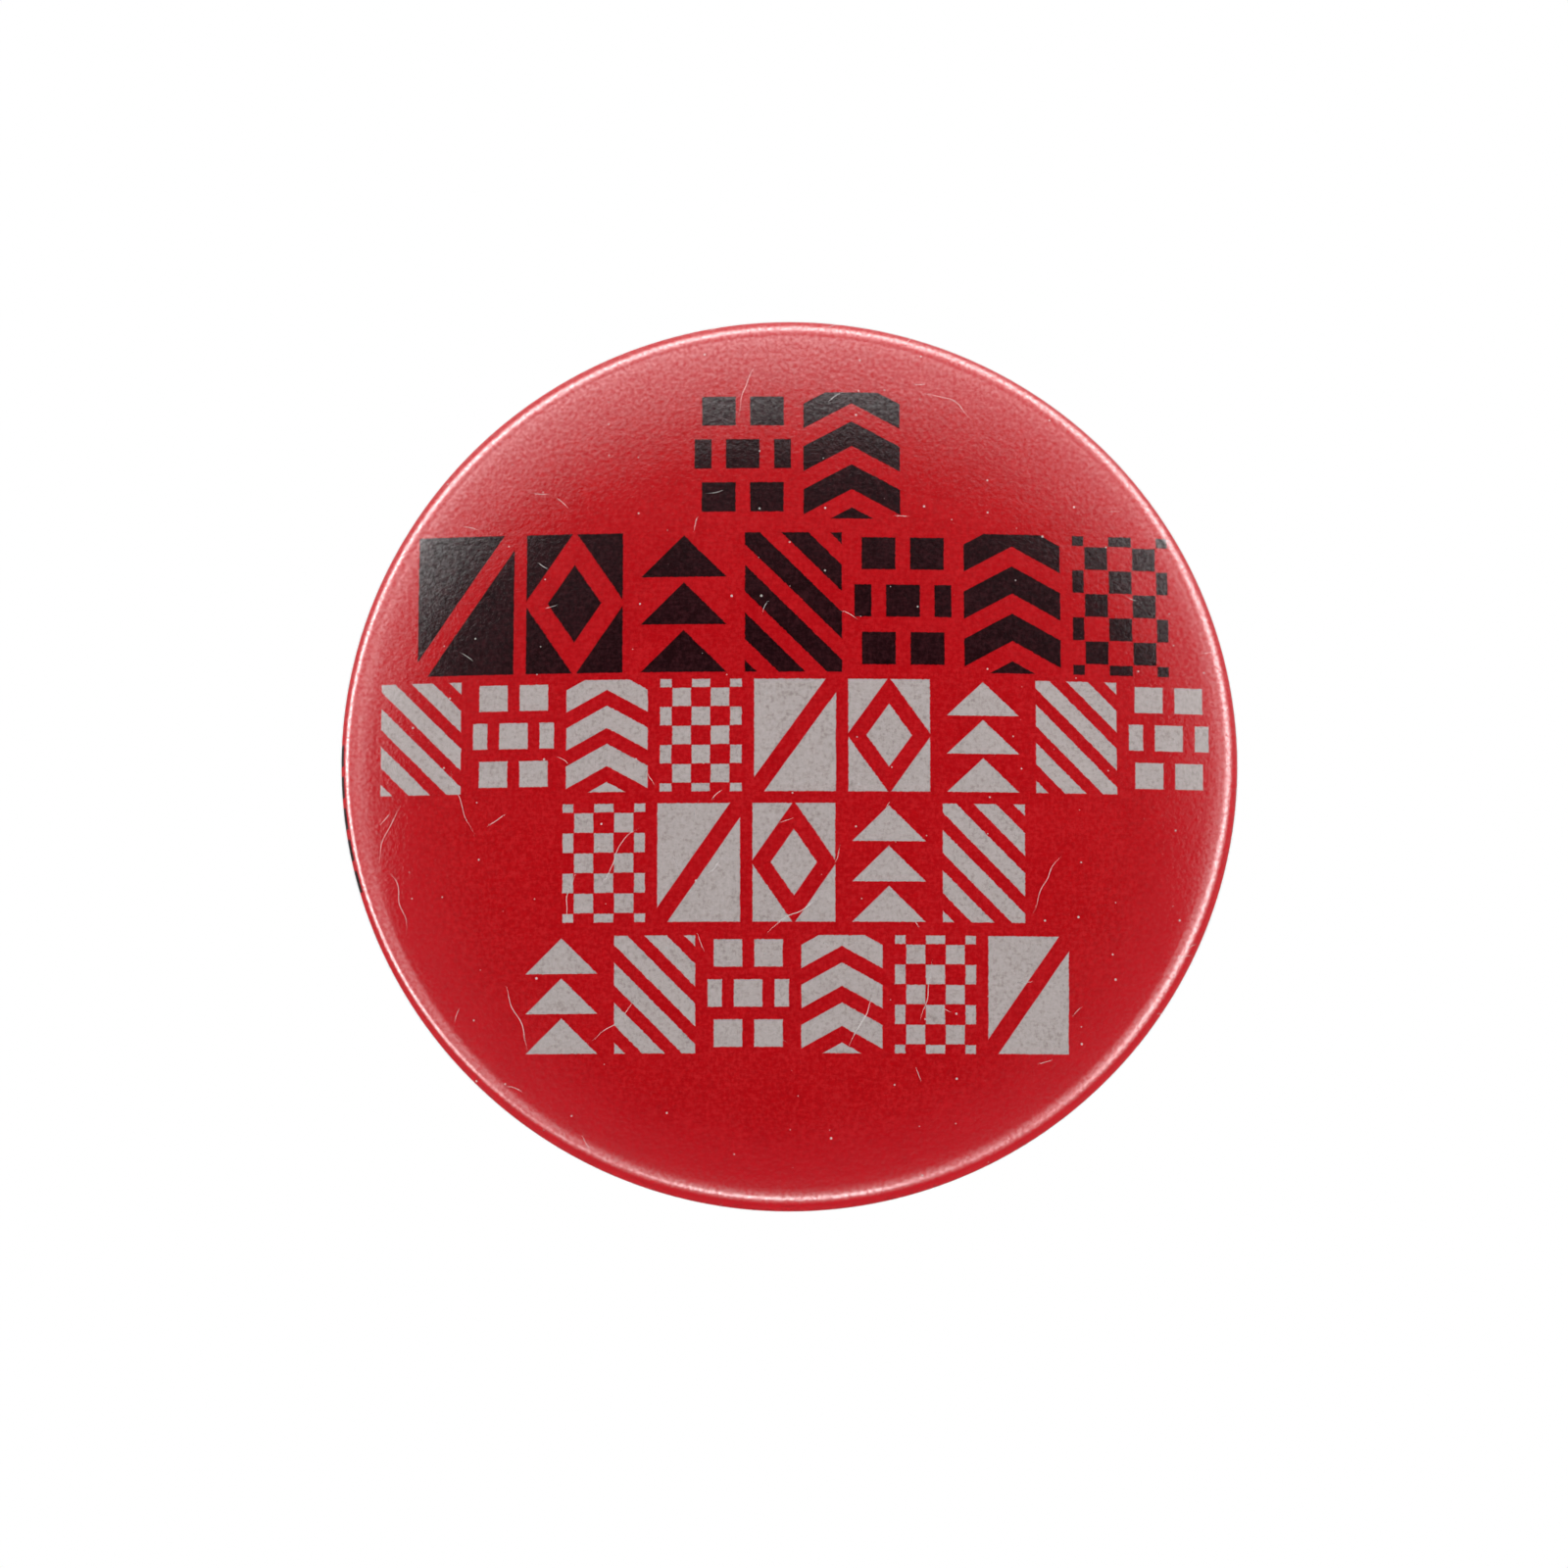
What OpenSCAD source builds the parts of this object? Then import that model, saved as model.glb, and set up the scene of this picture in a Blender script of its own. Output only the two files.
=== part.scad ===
/* [Badge] */
// Outside diameter of the finished badge
badge_d = 57.15; // [50:0.05:76]
// Spherical radius of the domed face
dome_r = 118; // [95:1:200]
// Radius of the bend between face and side
edge_r = 1.9; // [1.4:0.1:2.6]
// Straight side wall between the front and rear bends
side_h = 0.7; // [0.2:0.1:3]
// Radius of the bend between side and back
curl_r = 1.3; // [1:0.1:1.8]
// Flat turned-in land at the back
land_w = 2.2; // [1.8:0.1:4]
// Radius of the bend where the land tucks forward
tuck_r = 0.9; // [0.8:0.05:1.3]
// Straight length tucked forward behind the plate's wall
tuck_h = 1; // [0.4:0.1:1.4]

/* [Layers] */
// Thickness of the clear film
film_t = 0.1; // [0.08:0.01:0.13]
// Thickness of the printed paper
paper_t = 0.12; // [0.08:0.01:0.15]
// Thickness of the shell's tinplate
shell_t = 0.3; // [0.2:0.01:0.36]

/* [Back plate] */
// Thickness of the back plate's tinplate
plate_t = 0.3; // [0.2:0.01:0.4]
// How far the flange reaches past the tuck bend
flange_w = 0.9; // [0.5:0.1:1.4]
// Depth of the recess behind the rear face
recess_h = 3.4; // [2.8:0.1:4]
// Radius of the bend round the recess floor
floor_r = 0.8; // [0.4:0.1:1.2]
// Distance of the stiffening bead's middle from the floor's edge
bead_in = 2.9; // [2:0.1:4]
// Width of the bead at its foot
bead_w = 2.4; // [1.6:0.1:3]
// Height of the bead
bead_h = 0.4; // [0.2:0.05:0.5]

/* [Brooch bar] */
// Gap between the bar's round ends and the foot of the bead
bar_room = 2.5; // [1:0.1:4]
// Width of the bar
bar_w = 5; // [4.2:0.1:6]
// Thickness of the bar's steel
bar_t = 0.5; // [0.4:0.05:0.6]
// Height of the bar above the badge's centre
bar_z = 5; // [0:0.5:6]
// Distance of the hinge and the catch from the middle of the bar's round ends
hinge_in = 1.25; // [1:0.05:1.5]
// Distance of each bar rivet from the hinge or catch beside it
rivet_in = 4.2; // [4:0.1:5]
// Shank radius of the bar rivets
rivet_r = 0.8; // [0.6:0.05:1]
// Head radius of the bar rivets
rivet_head_r = 1.35; // [1.1:0.05:1.6]
// Head height of the bar rivets
rivet_head_h = 0.45; // [0.3:0.05:0.55]

/* [Needle and hinge] */
// Radius of the needle's shank
needle_r = 0.38; // [0.3:0.01:0.46]
// Radius of the flattened eye
eye_r = 1.1; // [0.9:0.05:1.35]
// Thickness of the eye
eye_t = 1; // [0.8:0.05:1.2]
// Gap between the eye and the bar under it
eye_room = 0.3; // [0.2:0.05:0.6]
// Gap each side between the eye and the ears
eye_gap = 0.1; // [0.05:0.01:0.2]
// How far the point passes the catch
point_proud = 1.5; // [1:0.1:2]
// Length of the tapered point
taper_l = 3.2; // [2:0.1:5]
// Thickness of each hinge ear
ear_t = 0.5; // [0.4:0.05:0.6]
// Wall of the ears round the hinge rivet
ear_wall = 0.85; // [0.6:0.05:1.1]
// Radius of the hinge rivet
hinge_r = 0.4; // [0.33:0.01:0.5]
// Radial clearance of the eye on its rivet
hinge_gap = 0.04; // [0.02:0.01:0.08]
// How far the hinge rivet's heads pass its shank
hinge_head = 0.4; // [0.3:0.05:0.5]
// Head height of the hinge rivet
hinge_head_h = 0.3; // [0.2:0.05:0.4]

/* [Safety catch] */
// Radial clearance of the needle in the collar
needle_gap = 0.2; // [0.15:0.01:0.3]
// Clearance on each side of the needle in the collar's slot
slot_gap = 0.12; // [0.1:0.01:0.15]
// Wall of the collar
collar_t = 0.42; // [0.35:0.01:0.5]
// Radial clearance of the collar in its rings
collar_gap = 0.05; // [0.02:0.01:0.08]
// Wall of the catch rings
ring_t = 0.45; // [0.35:0.05:0.55]
// Width of each ring along the needle
ring_l = 0.9; // [0.7:0.1:1.1]
// Thickness of the lever across the needle
lever_t = 0.6; // [0.4:0.05:0.7]
// Width of the lever along the needle
lever_w = 1.4; // [1.1:0.1:1.7]
// Gap between the lever and each ring
lever_gap = 0.15; // [0.1:0.05:0.3]
// How far the lever's tip passes the rings
lever_proud = 0.8; // [0.6:0.1:1]
// How far the collar passes each ring
collar_proud = 0.3; // [0.1:0.1:0.6]

/* [Hidden] */
$fn = 96;
badge_r = badge_d / 2;
edge_c = badge_r - edge_r;
curl_c = badge_r - curl_r;
tuck_c = curl_c - land_w;
land_y = -plate_t;
curl_y = land_y - curl_r;
edge_y = curl_y - side_h;
tuck_y = land_y - tuck_r;
face_a = asin(edge_c / (dome_r - edge_r));
dome_y = edge_y + (dome_r - edge_r) * cos(face_a);
stack_t = film_t + paper_t + shell_t;
wall_r = tuck_c - tuck_r;
floor_y = -recess_h;
floor_c = wall_r - plate_t - floor_r;
bead_r = floor_c - bead_in;
bead_top = 0.45;
bar_top = floor_y + bar_t;
end_c = bead_r - bead_w / 2 - bar_room - bar_w / 2;
end_x = sqrt(end_c * end_c - bar_z * bar_z);
hinge_x = end_x - hinge_in;
catch_x = end_x - hinge_in;
rivet_x = hinge_x - rivet_in;
needle_y = bar_top + eye_r + eye_room;
bore_r = needle_r + needle_gap;
slot_w = 2 * (needle_r + slot_gap);
collar_r = bore_r + collar_t;
ring_r = collar_r + collar_gap + ring_t;
lever_room = lever_w + 2 * lever_gap;
lever_r = ring_r + lever_proud;
lever_foot = bore_r + collar_t / 2;
lever_lean = atan2(lever_t / 2, lever_foot)
  + asin(slot_w / 2 / norm([lever_foot, lever_t / 2]));
collar_l = lever_room + 2 * ring_l + 2 * collar_proud;
point_x = catch_x + collar_l / 2 + point_proud;
ear_r = hinge_r + ear_wall;
hinge_head_r = hinge_r + hinge_head;
ear_in = eye_t / 2 + eye_gap;
ear_out = ear_in + ear_t;
tip_r = 0.06;
tail_r = rivet_head_r - 0.15;
tail_h = 0.35;
edge_round = 0.15;

// Points on an arc about c, from angle a to angle b
function arc(c, r, a, b, n) =
  [for (i = [0:n]) let (t = a + (b - a) * i / n) [c[0] + r * cos(t), c[1] + r * sin(t)]];

// A list in the other order
function back_to_front(list) = [for (i = [len(list) - 1:-1:0]) list[i]];

// The badge's outer line set in by d: face, edge, side, land and tuck
function skin_line(d) = concat(
  arc([0, dome_y], dome_r - d, -90, face_a - 90, 28),
  arc([edge_c, edge_y], edge_r - d, face_a - 90, 0, 12),
  arc([curl_c, curl_y], curl_r - d, 0, 90, 10),
  arc([tuck_c, tuck_y], tuck_r - d, 90, 180, 8),
  [[wall_r + d, tuck_y - tuck_h]]);

// The pressed bead's outline on a face at height y
function bead_line(y) = [
  [bead_r + bead_w / 2, y],
  [bead_r + bead_w * bead_top / 2, y + bead_h],
  [bead_r - bead_w * bead_top / 2, y + bead_h],
  [bead_r - bead_w / 2, y]];

// Turns a profile round the badge's own axis, back towards +Y
module turned() {
  rotate([-90, 0, 0])
    rotate_extrude()
      children();
}

// One layer of the wrapped stack between two depths
module layer(d, t) {
  turned()
    polygon(concat(skin_line(d), back_to_front(skin_line(d + t))));
}

// Stands a shape drawn in X and Y up along Z, centred on the bar's height
module across(height) {
  translate([0, 0, bar_z - height / 2])
    linear_extrude(height)
      children();
}

// Draws a shape across the needle's axis, X being the way back and Y the way up
module along(length) {
  translate([0, needle_y, bar_z])
    rotate([90, 0, 90])
      translate([0, 0, -length / 2])
        linear_extrude(length)
          children();
}

module clear_film() {
  color([0.9, 0.92, 0.94, 0.25])
    layer(0, film_t);
}

module printed_paper() {
  color([0.75, 0.07, 0.1])
    layer(film_t, paper_t);
}

module front_shell() {
  color([0.72, 0.73, 0.74])
    layer(film_t + paper_t, shell_t);
}

// Plate profile: flange on the land, bend, wall, floor bend, bead and floor
module plate_profile() {
  under = concat(
    [[tuck_c + flange_w, land_y]],
    arc([tuck_c, tuck_y], tuck_r, 90, 180, 8),
    arc([floor_c, floor_y + floor_r], floor_r + plate_t, 0, -90, 8),
    bead_line(floor_y - plate_t),
    [[0, floor_y - plate_t]]);
  upper = concat(
    [[0, floor_y]],
    back_to_front(bead_line(floor_y)),
    arc([floor_c, floor_y + floor_r], floor_r, -90, 0, 8),
    arc([tuck_c, tuck_y], tuck_r + plate_t, 180, 90, 8),
    [[tuck_c + flange_w, 0]]);
  polygon(concat(under, upper));
}

// A hole or shank through bar and plate at one bar rivet
module rivet_shank(side, y0, y1) {
  translate([side * rivet_x, y0, bar_z])
    rotate([-90, 0, 0])
      cylinder(h = y1 - y0, r = rivet_r);
}

module back_plate() {
  color([0.78, 0.78, 0.77])
    difference() {
      turned()
        plate_profile();
      for (side = [-1, 1])
        rivet_shank(side, floor_y - 2 * plate_t, floor_y + plate_t);
    }
}

// Bar blank with round ends
module bar_blank() {
  translate([0, floor_y + bar_t, bar_z])
    rotate([90, 0, 0])
      linear_extrude(bar_t)
        union() {
          square([2 * end_x, bar_w], center = true);
          for (side = [-1, 1])
            translate([side * end_x, 0])
              circle(bar_w / 2);
        }
}

// Ear outline with its rivet hole, drawn in X and Y
module ear_shape() {
  difference() {
    union() {
      translate([-hinge_x, needle_y])
        circle(ear_r);
      translate([-hinge_x - ear_r, bar_top - bar_t / 2])
        square([2 * ear_r, needle_y - bar_top + bar_t / 2]);
    }
    translate([-hinge_x, needle_y])
      circle(hinge_r);
  }
}

// Catch ring outline, open towards the back, on a foot that meets the bar
module ring_shape() {
  difference() {
    union() {
      circle(ring_r);
      translate([bar_top - bar_t / 2 - needle_y, -ring_r])
        square([needle_y - bar_top + bar_t / 2, 2 * ring_r]);
    }
    circle(collar_r + collar_gap);
    translate([0, -slot_w / 2])
      square([2 * ring_r, slot_w]);
  }
}

module pin_bar() {
  color([0.8, 0.8, 0.82])
    difference() {
      union() {
        bar_blank();
        for (side = [-1, 1])
          translate([0, 0, side * (ear_in + ear_t / 2)])
            across(ear_t)
              ear_shape();
        for (side = [-1, 1])
          translate([catch_x + side * (lever_room + ring_l) / 2, 0, 0])
            along(ring_l)
              ring_shape();
      }
      for (side = [-1, 1])
        rivet_shank(side, floor_y - bar_t, floor_y + 2 * bar_t);
    }
}

// Rivet with a domed head on the bar and a flat tail inside the badge
module bar_rivet(side) {
  crown_r = (rivet_head_r * rivet_head_r + rivet_head_h * rivet_head_h) / (2 * rivet_head_h);
  color([0.62, 0.62, 0.64])
    union() {
      rivet_shank(side, floor_y - plate_t - tail_h, bar_top);
      translate([side * rivet_x, bar_top, bar_z])
        rotate([-90, 0, 0])
          rotate_extrude()
            polygon(concat([[0, 0]],
              arc([0, rivet_head_h - crown_r], crown_r, acos(rivet_head_r / crown_r), 90, 8)));
      translate([side * rivet_x, floor_y - plate_t - tail_h, bar_z])
        rotate([-90, 0, 0])
          cylinder(h = tail_h, r1 = tail_r - edge_round, r2 = tail_r);
    }
}

module bar_rivet_left() {
  bar_rivet(-1);
}

module bar_rivet_right() {
  bar_rivet(1);
}

module hinge_rivet() {
  color([0.62, 0.62, 0.64])
    translate([-hinge_x, needle_y, bar_z])
      union() {
        cylinder(h = 2 * ear_out, r = hinge_r, center = true);
        translate([0, 0, ear_out])
          cylinder(h = hinge_head_h, r1 = hinge_head_r, r2 = hinge_head_r - edge_round);
        translate([0, 0, -ear_out - hinge_head_h])
          cylinder(h = hinge_head_h, r1 = hinge_head_r - edge_round, r2 = hinge_head_r);
      }
}

module needle() {
  shank_l = hinge_x + point_x - taper_l;
  color([0.86, 0.86, 0.88])
    difference() {
      translate([-hinge_x, needle_y, bar_z])
        union() {
          cylinder(h = eye_t, r = eye_r, center = true);
          rotate([0, 90, 0])
            cylinder(h = shank_l, r = needle_r);
          translate([shank_l, 0, 0])
            rotate([0, 90, 0])
              cylinder(h = taper_l, r1 = needle_r, r2 = tip_r);
        }
      translate([-hinge_x, needle_y, bar_z])
        cylinder(h = 2 * eye_t, r = hinge_r + hinge_gap, center = true);
    }
}

// Lever outline from inside the collar's wall to a rounded tip
module lever_shape() {
  rotate(lever_lean)
    union() {
      translate([lever_foot, -lever_t / 2])
        square([lever_r - lever_t / 2 - lever_foot, lever_t]);
      translate([lever_r - lever_t / 2, 0])
        circle(lever_t / 2);
    }
}

module safety_catch() {
  color([0.74, 0.74, 0.76])
    translate([catch_x, 0, 0])
      union() {
        along(collar_l)
          difference() {
            circle(collar_r);
            circle(bore_r);
            translate([0, -slot_w / 2])
              square([2 * collar_r, slot_w]);
          }
        along(lever_w)
          lever_shape();
      }
}

clear_film();
printed_paper();
front_shell();
back_plate();
pin_bar();
bar_rivet_left();
bar_rivet_right();
hinge_rivet();
needle();
safety_catch();
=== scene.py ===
import math
import random
import bpy
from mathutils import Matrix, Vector


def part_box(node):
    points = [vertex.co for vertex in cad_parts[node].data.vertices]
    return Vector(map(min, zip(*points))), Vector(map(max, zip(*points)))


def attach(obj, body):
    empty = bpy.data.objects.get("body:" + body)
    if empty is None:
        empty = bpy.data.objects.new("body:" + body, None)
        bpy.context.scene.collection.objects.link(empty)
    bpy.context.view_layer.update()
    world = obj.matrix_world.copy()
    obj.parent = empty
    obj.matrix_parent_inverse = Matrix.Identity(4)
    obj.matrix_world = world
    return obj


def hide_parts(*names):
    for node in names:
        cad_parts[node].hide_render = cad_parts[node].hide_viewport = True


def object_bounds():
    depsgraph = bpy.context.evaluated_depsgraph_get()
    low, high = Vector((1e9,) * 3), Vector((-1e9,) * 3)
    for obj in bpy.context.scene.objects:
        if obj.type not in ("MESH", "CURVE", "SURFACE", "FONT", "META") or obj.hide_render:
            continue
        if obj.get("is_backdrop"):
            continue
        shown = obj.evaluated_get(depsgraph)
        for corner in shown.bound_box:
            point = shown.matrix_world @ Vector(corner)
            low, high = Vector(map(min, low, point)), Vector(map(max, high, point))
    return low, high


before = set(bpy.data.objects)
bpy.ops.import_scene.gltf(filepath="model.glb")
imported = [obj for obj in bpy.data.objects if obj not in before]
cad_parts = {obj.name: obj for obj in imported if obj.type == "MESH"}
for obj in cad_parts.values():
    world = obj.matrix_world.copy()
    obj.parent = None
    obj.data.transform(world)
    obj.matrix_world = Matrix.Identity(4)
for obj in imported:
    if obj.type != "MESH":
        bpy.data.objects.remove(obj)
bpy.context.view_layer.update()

mm = 0.001
weldWithin = 1e-6  # points nearer than this are merged, in metres
filmLow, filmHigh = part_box("clear_film")
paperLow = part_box("printed_paper")[0]
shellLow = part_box("front_shell")[0]
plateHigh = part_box("back_plate")[1]


def startFresh():
    if bpy.context.mode != "OBJECT":
        bpy.ops.object.mode_set(mode="OBJECT")
    bpy.ops.object.select_all(action="DESELECT")


def pickVertices(piece, test):
    # selects the vertices whose place passes the test, in vertex mode
    bpy.ops.object.mode_set(mode="OBJECT")
    for face in piece.data.polygons:
        face.select = False
    for edge in piece.data.edges:
        edge.select = False
    for vertex in piece.data.vertices:
        vertex.select = test(vertex.co)
    bpy.ops.object.mode_set(mode="EDIT")
    bpy.ops.mesh.select_mode(type="VERT")


def turnOutline(name, outline, centre, axis, steps):
    # draws a closed outline as a chain of edges and spins it round an axis
    startFresh()
    bpy.ops.mesh.primitive_plane_add(size=mm)
    piece = bpy.context.object
    piece.name = name
    piece.data.name = name
    bpy.ops.object.mode_set(mode="EDIT")
    bpy.ops.mesh.select_mode(type="VERT")
    bpy.ops.mesh.select_all(action="SELECT")
    bpy.ops.mesh.merge(type="CENTER")
    bpy.ops.transform.translate(value=outline[0])
    for here, there in zip(outline, outline[1:] + outline[:1]):
        step = Vector(there) - Vector(here)
        if step.length > weldWithin / 10:
            bpy.ops.mesh.extrude_region_move(TRANSFORM_OT_translate={"value": step})
    bpy.ops.mesh.select_all(action="SELECT")
    bpy.ops.mesh.remove_doubles(threshold=weldWithin)
    bpy.ops.mesh.select_all(action="SELECT")
    bpy.ops.mesh.spin(steps=steps, angle=2 * math.pi, center=centre, axis=axis)
    bpy.ops.mesh.select_all(action="SELECT")
    bpy.ops.mesh.remove_doubles(threshold=weldWithin)
    bpy.ops.mesh.select_all(action="SELECT")
    bpy.ops.mesh.normals_make_consistent(inside=False)
    bpy.ops.object.mode_set(mode="OBJECT")
    return piece


def takeUp(piece):
    # makes this the one selected piece
    startFresh()
    piece.select_set(True)
    bpy.context.view_layer.objects.active = piece


def smoothed(piece, degrees):
    # smooth shading, with creases at bends sharper than this
    takeUp(piece)
    bpy.ops.object.shade_smooth_by_angle(angle=math.radians(degrees))
    startFresh()


def flatten(piece):
    # keeps broad faces flat beside their rounded edges
    takeUp(piece)
    faces = piece.modifiers.new("faces", "WEIGHTED_NORMAL")
    faces.keep_sharp = True
    faces.weight = 90
    bpy.ops.object.modifier_apply(modifier="faces")
    startFresh()


def standIn(piece, node, body, finish):
    piece.data.materials.clear()
    piece.data.materials.append(finish)
    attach(piece, body)
    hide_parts(node)


class Link:
    # wraps a node's socket, so that sums on it add their Math nodes
    def __init__(self, tree, socket=None):
        self.tree = tree
        self.socket = socket

    def node(self, kind, settings, values, output=0):
        made = self.tree.nodes.new("ShaderNode" + kind)
        for key, setting in settings.items():
            setattr(made, key, setting)
        for key, value in values.items():
            if isinstance(value, Link):
                self.tree.links.new(value.socket, made.inputs[key])
            else:
                made.inputs[key].default_value = value
        if len(made.outputs):
            return Link(self.tree, made.outputs[output])

    def maths(self, operation, first, second=0.0):
        return self.node("Math", {"operation": operation}, {0: first, 1: second})

    def __add__(self, other):
        return self.maths("ADD", self, other)

    def __radd__(self, other):
        return self.maths("ADD", other, self)

    def __sub__(self, other):
        return self.maths("SUBTRACT", self, other)

    def __rsub__(self, other):
        return self.maths("SUBTRACT", other, self)

    def __mul__(self, other):
        return self.maths("MULTIPLY", self, other)

    def __rmul__(self, other):
        return self.maths("MULTIPLY", other, self)

    def __truediv__(self, other):
        return self.maths("DIVIDE", self, other)

    def __rtruediv__(self, other):
        return self.maths("DIVIDE", other, self)

    def __abs__(self):
        return self.maths("ABSOLUTE", self)

    def __lt__(self, other):
        return self.maths("LESS_THAN", self, other)

    def __gt__(self, other):
        return self.maths("GREATER_THAN", self, other)

    def least(self, other):
        return self.maths("MINIMUM", self, other)

    def most(self, other):
        return self.maths("MAXIMUM", self, other)

    def wrapped(self, size):
        return self.maths("FLOORED_MODULO", self, size)

    def rounded(self):
        return self.maths("FLOOR", self)

    def root(self):
        return self.maths("SQRT", self)

    def between(self, low, high):
        # 0 at low, 1 at high, eased at both ends
        settings = {"interpolation_type": "SMOOTHSTEP"}
        values = {"Value": self, "From Min": low, "From Max": high}
        return self.node("MapRange", settings, values)

    def blend(self, first, second):
        # a colour that goes from first to second as this goes from 0 to 1
        return self.node("Mix", {"data_type": "RGBA"}, {0: self, 6: first, 7: second}, 2)

    def parts(self):
        # the three numbers in a place or a colour
        split = self.node("SeparateXYZ", {}, {0: self}).socket.node
        return [Link(self.tree, socket) for socket in split.outputs]

    def noise(self, size, detail=2.0, rough=0.5, stretch=(1, 1, 1)):
        # 0 to 1, with lumps of about this size in the unit of the place given
        spread = self.node("VectorMath", {"operation": "MULTIPLY"}, {0: self, 1: stretch})
        values = {"Vector": spread, "Scale": 1 / size, "Detail": detail, "Roughness": rough}
        return self.node("TexNoise", {}, values)


def newFinish(name):
    finish = bpy.data.materials.new(name)
    finish.use_nodes = True
    finish.node_tree.nodes.clear()
    return finish, Link(finish.node_tree)


def placeInMm(start):
    # the piece's own coordinates in millimetres
    own = start.node("TexCoord", {}, {}, "Object")
    return own.node("VectorMath", {"operation": "SCALE"}, {0: own, "Scale": 1 / mm})


def finishOff(start, shader):
    start.node("OutputMaterial", {}, {"Surface": shader})


inks = {
    "red": (0.304, 0.0010, 0.0034, 1),
    "redWorn": (0.388, 0.0085, 0.0115, 1),
    # the red painted paler at the rim, a painted sheen standing in for brighter light there
    "redPaintedSheen": (0.378, 0.0052, 0.0105, 1),
    "dark": (0.0072, 0.0005, 0.0012, 1),
    "darkWorn": (0.028, 0.0060, 0.0078, 1),
    "grey": (0.343, 0.304, 0.296, 1),
    "greyWorn": (0.234, 0.197, 0.190, 1),
    "paintedRimSheen": (22.0, 28.4),  # radii between which the red is painted paler, a painted sheen towards the rim, in mm
    # softness of an ink's edge, how far it frays and wanders, and the size of each, in mm
    "edge": 0.035,
    "bleed": 0.10,
    "bleedSize": 0.16,
    "wander": 0.06,
    "wanderSize": 1.4,
    "gap": 1.05,
    # left end, pitch, number of blocks, middle height and half height of each row, in mm
    "rows": [
        (-6.4, 6.9, 2, 19.2, 4.2),
        (-23.9, 6.9, 7, 9.6, 4.5),
        (-26.2, 5.9, 9, 1.1, 3.55),
        (-14.6, 5.95, 5, -6.9, 3.7),
        (-17.2, 5.85, 6, -15.1, 3.65),
    ],
    "rowMargin": 0.12,
    "darkRows": 2,
    "faceEnds": -1.5,  # the rows are printed in front of this depth only
    # short dashes down the left rim: lowest, highest, length and pitch, in mm, and their depths
    "rimDashes": (-8.4, 1.16, 1.35, 2.0),
    "dashDepth": (-3.15, -1.2),
    "band": 0.68,  # height of one band of a pattern, in half heights of the row
    "chevron": (0.55, 0.29),  # slope, and half width in bands
    "brick": (0.35, 0.34),  # half length in half widths, and half height in bands
    "jewel": (0.8, 0.46, 1.9),  # size, width of its line and how fast that fades
    "checkGap": 0.03,
    "stripe": 0.28,
    "peak": (0.7, 0.62),  # slope, and height in bands
    # fibres of the paper: size, roughness and stretch each way, and where they show
    "fibreSize": 0.20,
    "fibreRough": 0.66,
    "fibreAcross": (1, 0.4, 0.55),
    "fibreUp": (0.5, 0.4, 1),
    "fibreShown": (0.82, 1.30),
    "cloudSize": 3.0,
    "cloudShown": (0.3, 0.7),
    "cloudShare": 0.15,
    "roughness": 0.62,
    "shine": 0.02,
    "bump": 0.25,
    "bumpDepth": 0.00003,
}


def blockPatterns(across, up, halfWide, halfHigh):
    # distance to the edge of each printed pattern in a block, negative inside
    wide = abs(across)
    high = abs(up)
    band = halfHigh * inks["band"]
    inBand = (up + halfHigh).wrapped(band)
    diagonal = (halfWide * halfWide + halfHigh * halfHigh).root()
    split = inks["gap"] / 2 - abs(across * halfHigh - up * halfWide) / diagonal
    slope, half = inks["chevron"]
    chevrons = abs((up + wide * slope).wrapped(band) - band * 0.5) - band * half
    stripes = abs((across + up).wrapped(band) - band * 0.5) - band * inks["stripe"]
    size, line, fade = inks["jewel"]
    jewel = line - abs(wide / halfWide + high / halfHigh - size) * fade
    square = band * 0.5
    checkAcross = abs(across.wrapped(band) - square) - square * 0.5
    checkUp = abs(up.wrapped(band) - square) - square * 0.5
    checker = checkAcross.least(checkUp).most((0 - checkAcross).least(0 - checkUp))
    long, tall = inks["brick"]
    course = ((up + halfHigh) / band).rounded()
    along = (across + course * halfWide * 0.5).wrapped(halfWide)
    bricks = (abs(along - halfWide * 0.5) - halfWide * long).most(abs(inBand - band * 0.5) - band * tall)
    slope, tall = inks["peak"]
    peaks = (wide * band / halfWide + inBand) * slope - band * tall
    return [split, chevrons, stripes, jewel, checker + inks["checkGap"], bricks, peaks]


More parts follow.
